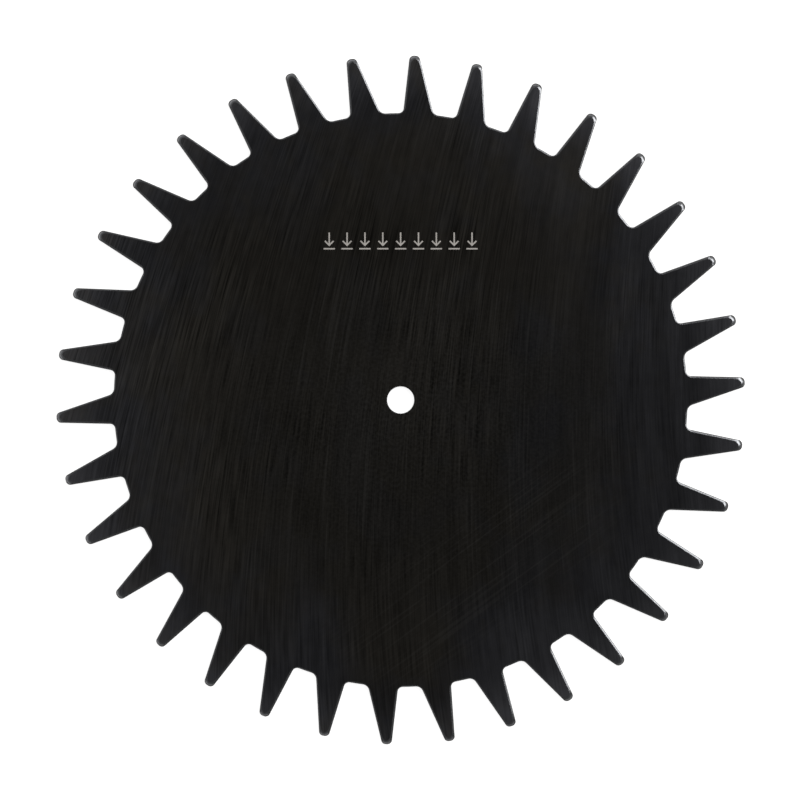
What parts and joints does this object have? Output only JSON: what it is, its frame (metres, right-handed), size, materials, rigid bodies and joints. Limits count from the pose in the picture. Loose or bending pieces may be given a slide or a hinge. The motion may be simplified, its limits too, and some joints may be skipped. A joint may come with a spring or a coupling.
{
  "type": "trimmer blade",
  "caption": "Flat blackened steel disc blade with a ring of leaning, bevelled teeth round its rim and a plain spindle hole in the middle.",
  "frame": {"origin": "on the axis of the spindle hole, at the height of the plain face that the blade lies on", "axes": "+Z along the spindle hole, out of the bevelled face that goes to the ground; the first tooth stands 3 degrees from +X, and the mark on the face reads upright towards +Y"},
  "size_m": [0.2546, 0.2548, 0.002],
  "materials": {
    "blade_steel": "blackened, fine straight grain"
  },
  "bodies": {
    "root": {"blade": "blade_steel"}
  },
  "joints": []
}
